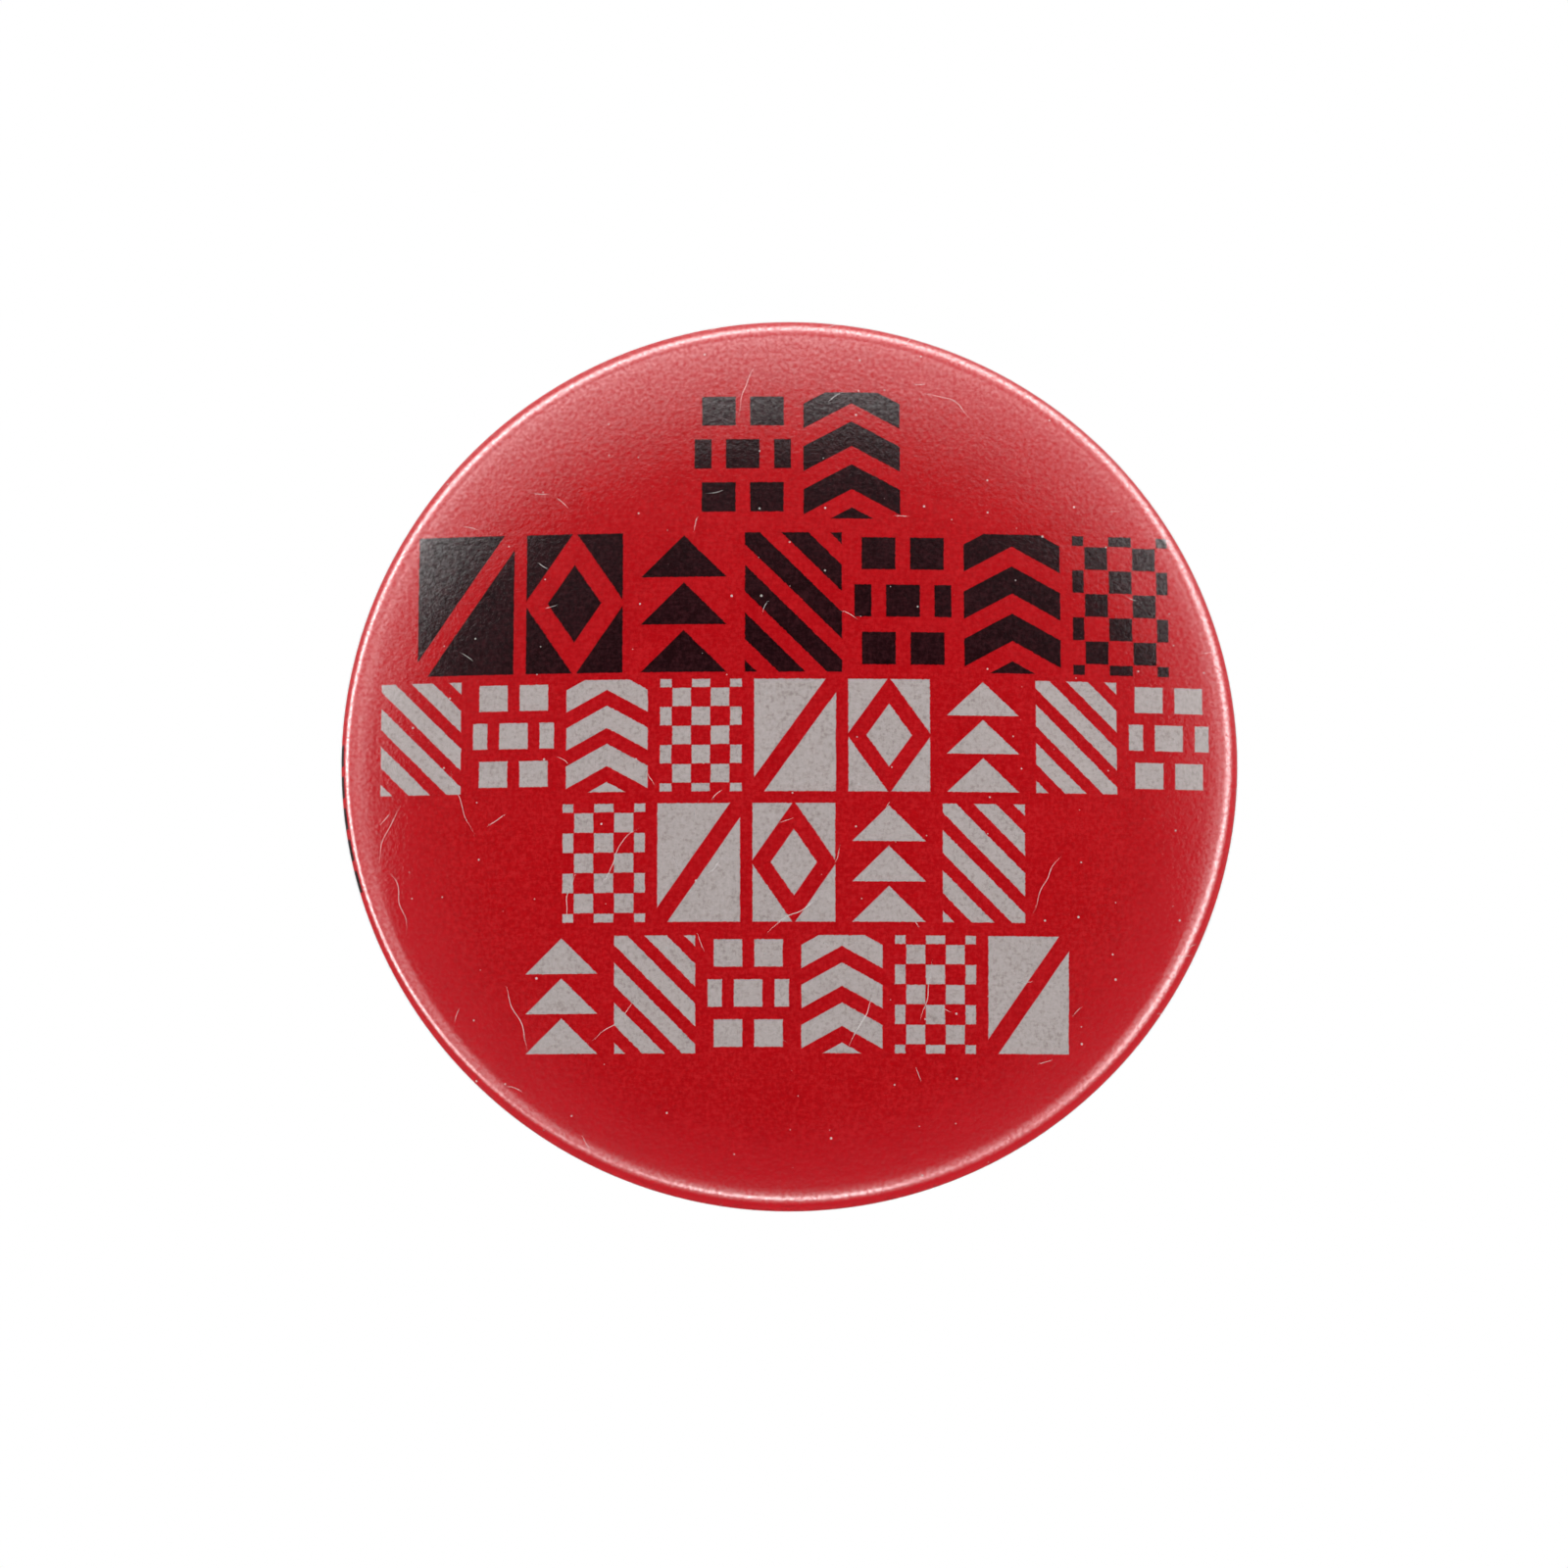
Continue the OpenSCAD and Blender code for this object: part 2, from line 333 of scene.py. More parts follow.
def printedBlocks(place):
    # two masks: dark ink and grey ink
    wander = place.noise(inks["wanderSize"], 1.0) - 0.5
    fray = place.noise(inks["bleedSize"], 2.0) - 0.5
    x, y, z = place.parts()
    x = x + fray * inks["bleed"] + wander * inks["wander"]
    z = z + fray * inks["bleed"]
    left = pitch = middle = tall = count = number = dark = 0.0
    for row, (start, width, many, height, half) in enumerate(inks["rows"]):
        here = abs(z - height) < half + inks["rowMargin"]
        left = left + here * start
        pitch = pitch + here * width
        count = count + here * many
        middle = middle + here * height
        tall = tall + here * half
        number = number + here * (row + 1)
        if row < inks["darkRows"]:
            dark = dark + here
    pitch = pitch.most(0.1)  # keeps the sums from dividing by nothing between rows
    tall = tall.most(0.1)
    cell = ((x - left) / pitch).rounded()
    across = x - left - (cell + 0.5) * pitch
    inside = (cell > -0.5) * (cell < count - 0.5) * (number > 0.5) * (y < inks["faceEnds"])
    halfWide = (pitch - inks["gap"] * 0.75) * 0.5
    patterns = blockPatterns(across, z - middle, halfWide, tall)
    pick = (cell * 3 + number * 2 + 3).wrapped(len(patterns))  # no two neighbours alike
    shape = 0.0
    for which, pattern in enumerate(patterns):
        shape = shape + (abs(pick - which) < 0.5) * pattern
    shape = (abs(across) - halfWide).most(abs(z - middle) - tall).most(shape)
    ink = (0 - shape).between(-inks["edge"], inks["edge"]) * inside
    low, high, length, repeat = inks["rimDashes"]
    front, back = inks["dashDepth"]
    dash = ((z - low).wrapped(repeat) < length) * (z > low) * (z < high) * (x < 0)
    dash = dash * (y > front) * (y < back)
    return (ink * dark).most(dash), ink * (1 - dark)


def makePrint():
    finish, start = newFinish("redPrintedPaper")
    place = placeInMm(start)
    darkInk, greyInk = printedBlocks(place)
    fibre = place.noise(inks["fibreSize"], 4.0, inks["fibreRough"], inks["fibreAcross"])
    cross = place.noise(inks["fibreSize"], 4.0, inks["fibreRough"], inks["fibreUp"])
    cloud = place.noise(inks["cloudSize"], 2.0).between(*inks["cloudShown"]) * inks["cloudShare"]
    mottle = (fibre + cross).between(*inks["fibreShown"]) * (1 - inks["cloudShare"]) + cloud
    x, y, z = place.parts()
    # painted sheen: the red is painted paler towards the rim, in place of light
    rim = (x * x + z * z).root().between(*inks["paintedRimSheen"])
    red = rim.blend(mottle.blend(inks["red"], inks["redWorn"]), inks["redPaintedSheen"])
    dark = mottle.blend(inks["dark"], inks["darkWorn"])
    grey = (mottle * mottle).blend(inks["grey"], inks["greyWorn"])
    colour = greyInk.blend(darkInk.blend(red, dark), grey)
    bump = start.node("Bump", {},
        {"Strength": inks["bump"], "Distance": inks["bumpDepth"], "Height": fibre})
    shader = start.node("BsdfPrincipled", {}, {"Base Color": colour,
        "Roughness": inks["roughness"], "Specular IOR Level": inks["shine"], "Normal": bump})
    finishOff(start, shader)
    return finish


filmLook = {
    "index": 1.95,
    "mostShine": 0.21,  # holds back the glare at a glancing angle
    "grainSize": 0.26,
    "grain": 0.80,
    "roughness": 0.05,
    "smear": 0.05,
    "smearSize": 6.0,
    # cell size, length, width and share of the hairline scratches, in mm
    "hairs": (7.5, 4.5, 0.027, 0.17),
    "nicks": (3.0, 1.2, 0.024, 0.14),
    "hairBend": 0.35,
    "hairCurve": 0.9,
    "specks": (0.006, 0.032),  # least size and what chance adds, in cells
    "speckSize": 2.0,
    "speckShare": 0.32,
    "dust": (0.8, 0.76, 0.74, 1),
    "markStrength": 0.34,
    "waveSize": 5.0,
    "peelSize": 0.34,
    "peel": 0.4,
    "bump": 0.4,
    "bumpDepth": 0.00005,
}


def hairlines(flat, bend, cellSize, length, width, share):
    # sparse curved scratches, one at most in each cell
    warped = flat.node("VectorMath", {"operation": "ADD"}, {0: flat, 1: bend})
    settings = {"voronoi_dimensions": "2D"}
    cells = warped.node("TexVoronoi", settings, {"Vector": warped, "Scale": 1 / cellSize})
    chance = Link(flat.tree, cells.socket.node.outputs["Color"])
    point = Link(flat.tree, cells.socket.node.outputs["Position"])
    offset = warped.node("VectorMath", {"operation": "SUBTRACT"}, {0: warped, 1: point})
    turn, curve, present = chance.parts()
    right, up, flatPart = offset.parts()
    turn = turn * 2 * math.pi
    cosine = turn.maths("COSINE", turn)
    sine = turn.maths("SINE", turn)
    along = right * cosine + up * sine
    curve = (curve - 0.5) * (filmLook["hairCurve"] / length)
    aside = up * cosine - right * sine + along * along * curve
    line = 1 - abs(aside).between(width * 0.4, width * 1.3)
    ends = 1 - abs(along).between(length * 0.15, length * 0.5)
    return line * ends * (present < share)


def dustSpecks(flat):
    settings = {"voronoi_dimensions": "2D"}
    values = {"Vector": flat, "Scale": 1 / filmLook["speckSize"]}
    dots = flat.node("TexVoronoi", settings, values)
    present, size, spare = Link(flat.tree, dots.socket.node.outputs["Color"]).parts()
    least, more = filmLook["specks"]
    return (dots < size * more + least) * (present < filmLook["speckShare"])


def makeFilm():
    finish, start = newFinish("clearPolyesterFilm")
    x, y, z = placeInMm(start).parts()
    flat = start.node("CombineXYZ", {}, {"X": x, "Y": z})
    bend = start.node("TexNoise", {"noise_dimensions": "2D"},
        {"Vector": flat, "Scale": filmLook["hairBend"], "Detail": 1.0}, "Color")
    hairs = hairlines(flat, bend, *filmLook["hairs"])
    nicks = hairlines(flat, bend, *filmLook["nicks"])
    marks = (hairs + nicks + dustSpecks(flat)).least(1.0)
    waves = flat.noise(filmLook["waveSize"], 1.0)
    waves = waves + flat.noise(filmLook["peelSize"], 3.0, 0.6) * filmLook["peel"]
    bump = start.node("Bump", {},
        {"Strength": filmLook["bump"], "Distance": filmLook["bumpDepth"], "Height": waves})
    outside = 1 - start.node("NewGeometry", {}, {}, "Backfacing")
    mirror = start.node("Fresnel", {}, {"IOR": filmLook["index"]}).least(filmLook["mostShine"])
    grain = flat.noise(filmLook["grainSize"], 3.0, 0.65).between(0.32, 0.68) - 0.5
    mirror = mirror * outside * (grain * filmLook["grain"] + 1)
    smear = flat.noise(filmLook["smearSize"], 2.0).between(0.35, 0.75) * filmLook["smear"]
    gloss = start.node("BsdfGlossy", {}, {"Color": (1, 1, 1, 1),
        "Roughness": smear + filmLook["roughness"], "Normal": bump})
    clear = start.node("BsdfTransparent", {}, {"Color": (1, 1, 1, 1)})
    sheet = start.node("MixShader", {}, {0: mirror, 1: clear, 2: gloss})
    dust = start.node("BsdfDiffuse", {}, {"Color": filmLook["dust"]})
    haze = marks * outside * filmLook["markStrength"]
    finishOff(start, start.node("MixShader", {}, {0: haze, 1: sheet, 2: dust}))
    return finish


# film and paper are turned from one outline
wrap = {
    "domeRadius": 118.0,
    "edgeRadius": 1.9,
    "sideDepth": 0.7,
    "curlRadius": 1.3,
    "landWidth": 2.2,
    "landShares": (0.15, 0.3, 0.42, 0.52, 0.58, 0.8),  # where the land has its rings of points
    "tuckRadius": 0.9,
    "tuckDepth": 1.0,
    "steps": 240,
    "clearance": 0.01,  # between film, paper and shell
    # height and number of the three sizes of pleat, and the edges of the land they rise on
    "pleats": [(0.13, 22), (0.09, 26), (0.05, 30)],
    "pleatsIn": 0.05,
    "pleatsOut": 0.9,
    "seed": 12,
    "crease": 50,
}


def arcPoints(centre, radius, start, end, count):
    # an arc in even steps between two angles, in degrees
    points = []
    for step in range(count + 1):
        turn = math.radians(start + (end - start) * step / count)
        points.append((centre[0] + radius * math.cos(turn), centre[1] + radius * math.sin(turn)))
    return points


def wrapLine(depth):
    # the badge's outer line set in by depth, in mm: distance from the axis, then back
    badgeR = filmHigh.x / mm
    landY = filmHigh.y / mm
    edgeC = badgeR - wrap["edgeRadius"]
    curlC = badgeR - wrap["curlRadius"]
    tuckC = curlC - wrap["landWidth"]
    curlY = landY - wrap["curlRadius"]
    edgeY = curlY - wrap["sideDepth"]
    tuckY = landY - wrap["tuckRadius"]
    face = math.degrees(math.asin(edgeC / (wrap["domeRadius"] - wrap["edgeRadius"])))
    domeY = edgeY + (wrap["domeRadius"] - wrap["edgeRadius"]) * math.cos(math.radians(face))
    line = arcPoints((0, domeY), wrap["domeRadius"] - depth, -90, face - 90, 40)
    line += arcPoints((edgeC, edgeY), wrap["edgeRadius"] - depth, face - 90, 0, 14)[1:]
    line += arcPoints((curlC, curlY), wrap["curlRadius"] - depth, 0, 90, 10)
    for share in wrap["landShares"]:
        line.append((curlC - wrap["landWidth"] * share, landY - depth))
    line += arcPoints((tuckC, tuckY), wrap["tuckRadius"] - depth, 90, 180, 6)
    line.append((tuckC - wrap["tuckRadius"] + depth, tuckY - wrap["tuckDepth"]))
    return line


def layerOutline(outer, inner):
    line = wrapLine(outer) + wrapLine(inner)[::-1]
    return [(radius * mm, back * mm, 0) for radius, back in line]


def pressPleats(piece):
    # the disc's spare width folds into small ridges on the land behind the rim
    chance = random.Random(wrap["seed"])
    columns = list(range(wrap["steps"]))
    chance.shuffle(columns)
    landIn = plateHigh.x + wrap["pleatsIn"] * mm
    landOut = filmHigh.x - wrap["pleatsOut"] * mm
    for height, many in wrap["pleats"]:
        chosen = set(columns[:many])
        columns = columns[many:]

        def onRidge(place):
            radius = math.hypot(place.x, place.z)
            turn = math.atan2(place.z, place.x) / (2 * math.pi) * wrap["steps"]
            column = round(turn) % wrap["steps"]
            return landIn < radius < landOut and place.y > -wrap["tuckRadius"] * mm and column in chosen

        takeUp(piece)
        pickVertices(piece, onRidge)
        bpy.ops.transform.translate(value=(0, height * mm, 0))
        bpy.ops.object.mode_set(mode="OBJECT")


filmThick = (paperLow.y - filmLow.y) / mm
paperThick = (shellLow.y - paperLow.y) / mm
space = wrap["clearance"]
filmOutline = layerOutline(0.0, filmThick - 2 * space)
paperOutline = layerOutline(filmThick + space, filmThick + paperThick - space)
film = turnOutline("clearFilm", filmOutline, (0, 0, 0), (0, 1, 0), wrap["steps"])
paper = turnOutline("printedPaper", paperOutline, (0, 0, 0), (0, 1, 0), wrap["steps"])
for layer in (film, paper):
    pressPleats(layer)
    smoothed(layer, wrap["crease"])
standIn(film, "clear_film", "badge", makeFilm())
film.visible_shadow = False  # lamps reach the print through it
standIn(paper, "printed_paper", "badge", makePrint())
print("film and paper wrapped")


# grain is its size in mm, depth the height of its bump in metres
metals = {
    "tinplate": {
        "light": (0.66, 0.65, 0.63, 1),
        "dull": (0.56, 0.55, 0.535, 1),
        "stain": (0.20, 0.12, 0.07, 1),
        "stained": 0.35,
        "roughness": 0.26,
        "grain": 0.12,
        "stretch": (0.05, 1, 1),
        "depth": 0.000012,
        "scratched": 0.5,
    },
    "nickel": {
        "light": (0.74, 0.71, 0.66, 1),
        "dull": (0.50, 0.47, 0.43, 1),
        "stain": (0.22, 0.15, 0.09, 1),
        "stained": 0.25,
        "roughness": 0.20,
        "grain": 0.10,
        "stretch": (1, 1, 0.06),
        "depth": 0.000006,
        "scratched": 0.6,
    },
    "rivetSteel": {
        "light": (0.58, 0.57, 0.56, 1),
        "dull": (0.36, 0.355, 0.35, 1),
        "stain": (0.18, 0.10, 0.055, 1),
        "stained": 0.5,
        "roughness": 0.30,
        "grain": 0.25,
        "stretch": (1, 1, 1),
        "depth": 0.00002,
        "scratched": 0.3,
    },
    "needleSteel": {
        "light": (0.80, 0.79, 0.77, 1),
        "dull": (0.60, 0.59, 0.57, 1),
        "stain": (0.30, 0.22, 0.15, 1),
        "stained": 0.12,
        "roughness": 0.14,
        "grain": 0.08,
        "stretch": (0.08, 1, 1),
        "depth": 0.000003,
        "scratched": 0.2,
    },
}


# how age shows on every metal here: sizes in mm, and how much each thing dulls and roughens
wear = {
    "cloudSize": 4.5,
    "rustSize": 1.3,
    "rustShown": (0.60, 0.74),
    "scuffSize": 0.9,
    "scuffStretch": (0.25, 1, 1.7),
    "scuffLine": (0.004, 0.016),
    "scuffPatch": 5.0,
    "dulls": {"cloud": 0.6, "grain": 0.3, "scuff": 0.3},
    "roughens": {"cloud": 0.10, "grain": 0.10, "scuff": 0.15, "rust": 0.35, "all": -0.08},
    "bump": 0.6,
    "scuffDepth": 0.6,
}


def makeMetal(name):
    look = metals[name]
    finish, start = newFinish(name)
    place = placeInMm(start)
    grain = place.noise(look["grain"], 3.0, 0.6, look["stretch"])
    cloud = place.noise(wear["cloudSize"], 3.0).between(0.32, 0.68)
    rust = place.noise(wear["rustSize"], 5.0, 0.68).between(*wear["rustShown"]) * look["stained"]
    scuff = place.noise(wear["scuffSize"], 2.0, 0.5, wear["scuffStretch"])
    scuff = 1 - abs(scuff - 0.5).between(*wear["scuffLine"])
    patch = place.noise(wear["scuffPatch"], 1.0).between(0.5, 0.65)
    scuff = scuff * patch * look["scratched"]
    dulls = wear["dulls"]
    tone = cloud * dulls["cloud"] + grain.between(0.3, 0.7) * dulls["grain"] + scuff * dulls["scuff"]
    colour = rust.blend(tone.least(1.0).blend(look["light"], look["dull"]), look["stain"])
    roughens = wear["roughens"]
    rough = cloud * roughens["cloud"] + grain * roughens["grain"] + scuff * roughens["scuff"]
    rough = rough + rust * roughens["rust"] + (look["roughness"] + roughens["all"])
    bump = start.node("Bump", {}, {"Strength": wear["bump"], "Distance": look["depth"],
        "Height": grain - scuff * wear["scuffDepth"]})
    shader = start.node("BsdfPrincipled", {}, {"Base Color": colour, "Metallic": 1.0,
        "Roughness": rough, "Normal": bump})
    finishOff(start, shader)
    return finish


tinplate = makeMetal("tinplate")
nickel = makeMetal("nickel")
rivetSteel = makeMetal("rivetSteel")
needleSteel = makeMetal("needleSteel")
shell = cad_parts["front_shell"]  # its shape is right, so it only takes a finish
shell.data.materials.clear()
shell.data.materials.append(tinplate)


plate = {
    "thickness": 0.3,
    "bendRadius": 0.9,
    "flange": 0.9,
    "recess": 3.4,
    "floorRadius": 0.8,
    "wallRadius": 24.175,
    "beadRadius": 20.175,
    "beadWidth": 2.4,
    "beadHeight": 0.4,
    "floorRings": (4, 9, 14),
    "edge": 0.08,
    "steps": 192,
    "crease": 40,
    "holeRadius": 0.8,
    "holeX": 7.6,
    "holeZ": 5.0,
}


def beadArch(height):
    # a smooth pressed ridge from its outer foot to its inner one
    points = []
    steps = 12
    for step in range(steps + 1):
        share = step / steps
        rise = plate["beadHeight"] * (0.5 - 0.5 * math.cos(2 * math.pi * share))
        points.append((plate["beadRadius"] + plate["beadWidth"] * (0.5 - share), height + rise))
    return points


def plateOutline():
    thick = plate["thickness"]
    bend = plate["bendRadius"]
    outer = plateHigh.x / mm
    bendC = outer - plate["flange"]
    bendY = -thick - bend
    floorY = -plate["recess"]
    floorC = plate["wallRadius"] - thick - plate["floorRadius"]
    curve = floorY + plate["floorRadius"]
    edge = plate["edge"]
    rings = (0,) + plate["floorRings"]
    under = [(outer - edge * 0.75, -thick)] + arcPoints((bendC, bendY), bend, 90, 180, 10)
    under += arcPoints((floorC, curve), plate["floorRadius"] + thick, 0, -90, 12)
    under += beadArch(floorY - thick) + [(ring, floorY - thick) for ring in rings[::-1]]
    upper = [(ring, floorY) for ring in rings] + beadArch(floorY)[::-1]
    upper += arcPoints((floorC, curve), plate["floorRadius"], -90, 0, 12)
    upper += arcPoints((bendC, bendY), bend + thick, 180, 90, 12)
    upper += [(outer - edge, 0), (outer - edge / 4, -edge / 4)]
    upper += [(outer, -edge), (outer, -thick + edge * 0.75)]
    return [(radius * mm, back * mm, 0) for radius, back in under + upper]


def cutHoles(piece):
    # one hole through the floor for each bar rivet
    for side in (-1, 1):
        startFresh()
        bpy.ops.mesh.primitive_cylinder_add(vertices=48, radius=plate["holeRadius"] * mm,
            depth=2 * mm, rotation=(math.pi / 2, 0, 0),
            location=(side * plate["holeX"] * mm, -plate["recess"] * mm, plate["holeZ"] * mm))
        punch = bpy.context.object
        takeUp(piece)
        hole = piece.modifiers.new("hole", "BOOLEAN")
        hole.operation = "DIFFERENCE"
        hole.object = punch
        hole.solver = "EXACT"
        bpy.ops.object.modifier_apply(modifier="hole")
        bpy.data.objects.remove(punch)


backPlate = turnOutline("backPlate", plateOutline(), (0, 0, 0), (0, 1, 0), plate["steps"])
cutHoles(backPlate)
smoothed(backPlate, plate["crease"])
standIn(backPlate, "back_plate", "badge", tinplate)
print("back plate pressed")


# small steel fittings, each from its CAD solid with its edges broken:
# node, body, slot, width of the broken edge in mm and finish
fittings = {
    "brooch": ("pin_bar", "badge", "bar", 0.09, nickel),
    "leftBarRivet": ("bar_rivet_left", "badge", "rivet", 0.06, rivetSteel),
    "rightBarRivet": ("bar_rivet_right", "badge", "rivet", 0.06, rivetSteel),
    "hingeRivet": ("hinge_rivet", "badge", "rivet", 0.07, rivetSteel),
    "turnCatch": ("safety_catch", "safety_catch", "catch", 0.06, nickel),
}
# angles in degrees: faces flatter than this are merged, edges sharper than this are broken
breaking = {
    "merge": 0.6,
    "sharp": 32,
    "segments": 3,
    "crease": 50,
}


def brokenEdges(name, node, width):
    takeUp(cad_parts[node])
    bpy.ops.object.duplicate()
    piece = bpy.context.object
    piece.name = name
    piece.data.name = name
    bpy.ops.object.mode_set(mode="EDIT")
    bpy.ops.mesh.select_all(action="SELECT")
    bpy.ops.mesh.remove_doubles(threshold=weldWithin)
    bpy.ops.mesh.select_all(action="SELECT")
    bpy.ops.mesh.dissolve_limited(angle_limit=math.radians(breaking["merge"]))
    bpy.ops.object.mode_set(mode="OBJECT")
    edges = piece.modifiers.new("edges", "BEVEL")
    edges.width = width * mm
    edges.segments = breaking["segments"]
    edges.limit_method = "ANGLE"
    edges.angle_limit = math.radians(breaking["sharp"])
    edges.miter_outer = "MITER_ARC"
    bpy.ops.object.modifier_apply(modifier="edges")
    smoothed(piece, breaking["crease"])
    flatten(piece)
    return piece


for name, (node, body, slot, width, finish) in fittings.items():
    standIn(brokenEdges(name, node, width), node, body, finish)
print("brooch, rivets and catch fitted")


needleWire = {
    "hinge": (-11.8, -1.5, 5.0),
    "radius": 0.38,
    "eyeRadius": 1.1,
    "eyeBore": 0.44,
    "eyeThick": 1.0,
    "edge": 0.16,
    "boreEdge": 0.08,
    # along from the hinge, and how much thicker than the wire: the swaged root, then the shank
    "root": [(0.75, 0.08), (1.15, 0.07), (1.6, 0.02), (2.0, 0)],
    "shank": (8.0, 14.0, 20.0),
    "taper": 3.2,
    "taperCurve": 0.35,
    "tipRadius": 0.06,
    "tipEnd": (0.015, 0.035),  # length and radius of the last rounding
    "wireSides": 28,
    "eyeSides": 64,
    "crease": 40,
}


def needleOutline(length):
    # along the wire: swaged root inside the eye, shank, then a point ground to a curve
    radius = needleWire["radius"]
    line = [(needleWire["root"][0][0], 0)]
    line += [(along, radius + thicker) for along, thicker in needleWire["root"]]
    line += [(along, radius) for along in needleWire["shank"]]
    start = length - needleWire["taper"]
    curve = needleWire["taperCurve"]
    steps = 8
    for step in range(steps + 1):
        share = step / steps
        fall = curve * share ** 2 + (1 - curve) * share
        thin = radius + (needleWire["tipRadius"] - radius) * fall
        line.append((start + needleWire["taper"] * share * 0.985, thin))
    endLength, endRadius = needleWire["tipEnd"]
    line += [(length - endLength, endRadius), (length, 0)]
    return line


def eyeOutline():
    # section of the flattened eye: distance from the rivet, then height
    half = needleWire["eyeThick"] / 2
    edge = needleWire["edge"]
    bore = needleWire["eyeBore"]
    inner = needleWire["boreEdge"]
    rim = needleWire["eyeRadius"]
    side = [(bore, half - inner), (bore + inner, half), (rim - edge, half)]
    side += [(rim - edge * 0.3, half - edge * 0.3), (rim, half - edge)]
    return [(radius, -height) for radius, height in side] + side[::-1]


def makeNeedle():
    x0, y0, z0 = needleWire["hinge"]
    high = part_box("needle")[1]
    wire = [((x0 + along) * mm, (y0 + radius) * mm, z0 * mm)
        for along, radius in needleOutline(high.x / mm - x0)]
    centre = (x0 * mm, y0 * mm, z0 * mm)
    piece = turnOutline("brightNeedle", wire, centre, (1, 0, 0), needleWire["wireSides"])
    eyeLine = [((x0 + radius) * mm, y0 * mm, (z0 + height) * mm) for radius, height in eyeOutline()]
    eye = turnOutline("needleEye", eyeLine, centre, (0, 0, 1), needleWire["eyeSides"])
    takeUp(piece)
    join = piece.modifiers.new("eye", "BOOLEAN")
    join.operation = "UNION"
    join.object = eye
    join.solver = "EXACT"
    bpy.ops.object.modifier_apply(modifier="eye")
    bpy.data.objects.remove(eye)
    smoothed(piece, needleWire["crease"])
    return piece


standIn(makeNeedle(), "needle", "needle", needleSteel)
print("needle ground and hung")


# a white tent round a dark opening where the camera looks in; angles are in degrees from the lens
tent = {
    "dark": 0.004,
    # opening, its soft edge and the cloth's brightness: all round, then what each side adds
    "opening": {"all": 28.0, "high": 0.4, "right": -0.4, "low": 5.0},
    "edge": {"all": 7.25, "high": 11.75, "right": 1.75, "low": 21.75},
    "cloth": {"all": 0.94, "high": 1.88, "right": 0.04, "low": 0.30},
    "behind": {"all": 0.15, "high": 0.45, "right": 0.0, "low": -0.12},
    # where the cloth dims above and at the upper right, and by how much
    "topEnds": (38.0, 52.0),
    "topDims": 0.65,
    "cornerDims": 0.55,
    "haze": 0.06,
    "hazeAt": (17.0, 32.0),
    "tableGlow": 0.32,
    "tableAt": (20.0, 37.0),
    "backFrom": (58.0, 98.0),
    "backLight": 1.0,
    "backLightAt": (146.0, 166.0),
    # a bright hoop that lines the rolled edge: its angle all round, then what each side adds
    "rimLight": 4.8,
    "hoop": {"all": 74.1, "up": 7.0, "right": 7.5, "upRight": 7.4, "square": 9.9, "cube": -17.5},
    "hoopWidth": {"all": 7.5, "high": 5, "right": 5},
    "leftLift": 0.45,
    "shoulderShade": 0.75,
    "shoulderFrom": (0.12, 0.42),
    "shoulderTo": (0.62, 0.95),
}


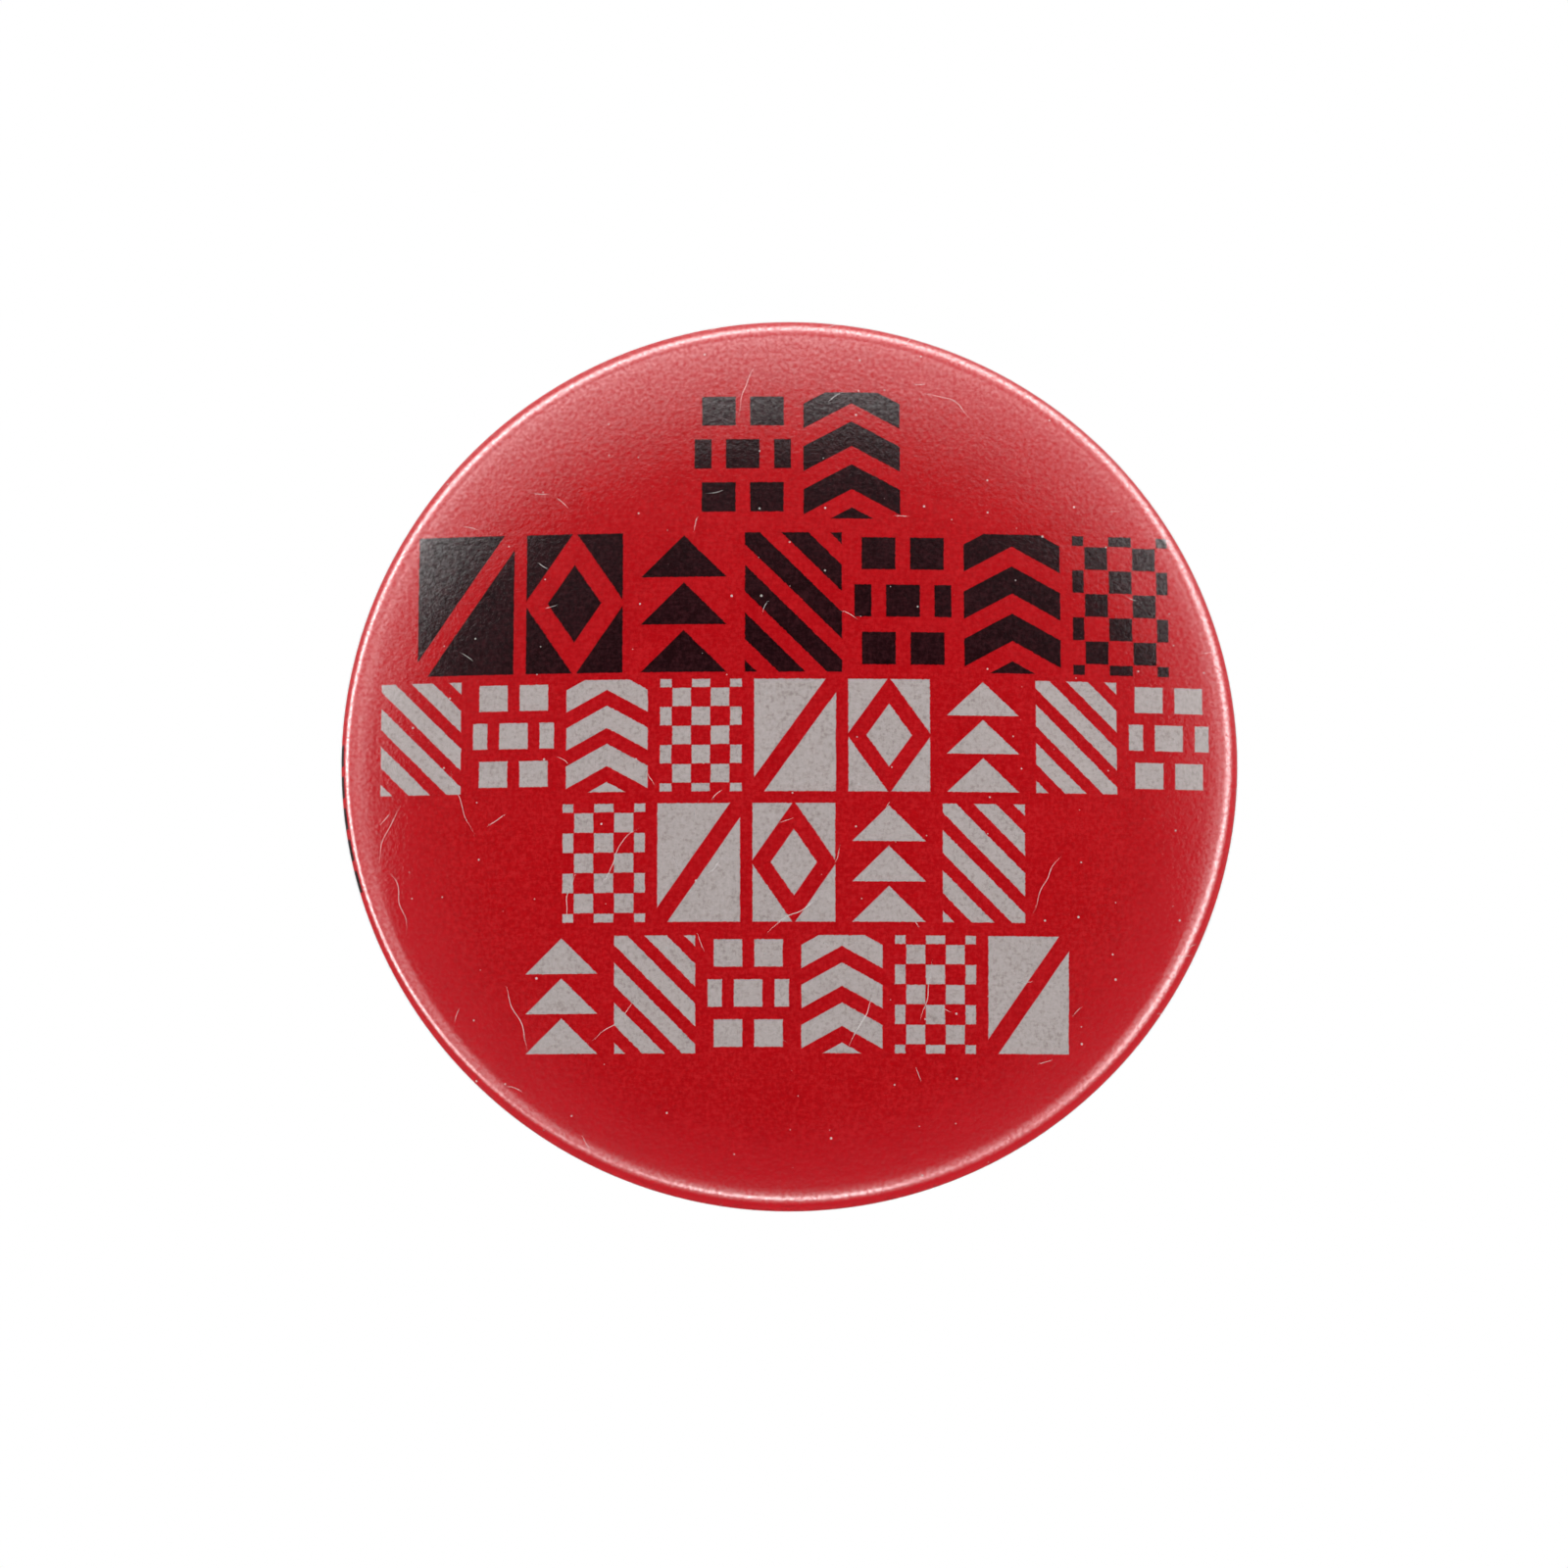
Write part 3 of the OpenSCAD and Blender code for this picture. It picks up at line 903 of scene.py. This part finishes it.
def makeWorld():
    # brightness by direction: polar is the angle from the lens, right and up the way round it
    world = bpy.data.worlds.new("softTent")
    bpy.context.scene.world = world
    world.use_nodes = True
    world.node_tree.nodes.clear()
    start = Link(world.node_tree)
    x, y, z = start.node("TexCoord", {}, {}, "Generated").parts()
    facing = (0 - y).least(1.0).most(-1.0)
    polar = facing.maths("ARCCOSINE", facing) * (180 / math.pi)
    out = (x * x + z * z).most(0.000001).root()
    right = x / out
    up = z / out
    high = up.most(0.0)
    low = (0 - up).most(0.0)

    def around(shares):
        return high * shares["high"] + right * shares["right"] + low * shares["low"] + shares["all"]

    opening = around(tent["opening"])
    cloth = polar.between(opening, opening + around(tent["edge"])) * around(tent["cloth"])
    cloth = cloth * (1 - high * polar.between(*tent["topEnds"]) * tent["topDims"])
    cloth = cloth * (1 - high * right.most(0.0) * tent["cornerDims"])
    cloth = cloth + polar.between(*tent["hazeAt"]) * tent["haze"]
    cloth = cloth + polar.between(*tent["tableAt"]) * low * tent["tableGlow"]
    backShare = polar.between(*tent["backFrom"])
    behind = around(tent["behind"]) + polar.between(*tent["backLightAt"]) * tent["backLight"]
    hoop = tent["hoop"]
    hoopAt = right * hoop["right"] + right * right * hoop["square"] + right * right * right * hoop["cube"]
    hoopAt = hoopAt + up * hoop["up"] + up * right * hoop["upRight"] + hoop["all"]
    wide = tent["hoopWidth"]
    away = (polar - hoopAt) / (high * wide["high"] + right.most(0.0) * wide["right"] + wide["all"])
    ring = 0 - away * away
    ring = ring.maths("EXPONENT", ring) * tent["rimLight"]
    ring = ring * ((0 - right).most(0.0) * tent["leftLift"] + 1)
    shoulder = abs(right).between(*tent["shoulderFrom"]) * (1 - abs(right).between(*tent["shoulderTo"]))
    ring = ring * (1 - shoulder * low.between(0.0, 0.4) * tent["shoulderShade"])
    glow = cloth * (1 - backShare) + behind * backShare + ring + tent["dark"]
    seen = start.node("LightPath", {}, {}, "Is Camera Ray")
    strength = seen * (1 - glow) + glow  # the camera itself sees plain white
    light = start.node("Background", {}, {"Color": (1, 1, 1, 1), "Strength": strength})
    start.node("OutputWorld", {}, {"Surface": light})


studio = {
    "lens": 110,
    "cameraAngle": -7.0,
    "frameWidth": 0.0992,
    "aimX": -0.00034,
    "aimZ": -0.00158,
    "sensor": 36,
    "floorZ": -0.16,
    "floorRadius": 1.4,
    "floorColour": (0.93, 0.93, 0.93, 1),
}


def makeCamera():
    eye = bpy.data.cameras.new("studioCamera")
    camera = bpy.data.objects.new("studioCamera", eye)
    bpy.context.scene.collection.objects.link(camera)
    eye.lens = studio["lens"]
    eye.sensor_width = studio["sensor"]
    low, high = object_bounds()
    middle = (low + high) / 2
    aim = Vector((middle.x + studio["aimX"], middle.y, middle.z + studio["aimZ"]))
    tilt = math.radians(studio["cameraAngle"])
    distance = studio["frameWidth"] * studio["lens"] / studio["sensor"]
    camera.location = aim + Vector((0, -math.cos(tilt), math.sin(tilt))) * distance
    camera.rotation_euler = (math.pi / 2 - tilt, 0, 0)
    eye.clip_start = 0.01
    eye.clip_end = 20
    bpy.context.scene.camera = camera


def makeFloor():
    startFresh()
    bpy.ops.mesh.primitive_circle_add(vertices=96, radius=studio["floorRadius"], fill_type="NGON",
        location=(0, 0, studio["floorZ"]))
    floor = bpy.context.object
    floor.name = "paleFloor"
    finish, start = newFinish("paleFloorPaint")
    shader = start.node("BsdfDiffuse", {}, {"Color": studio["floorColour"]})
    finishOff(start, shader)
    floor.data.materials.append(finish)
    floor.visible_glossy = False  # the metal and the film reflect only the tent
    floor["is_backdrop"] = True


makeWorld()
makeFloor()
makeCamera()
bpy.context.scene.view_settings.view_transform = "Standard"
print("studio ready")
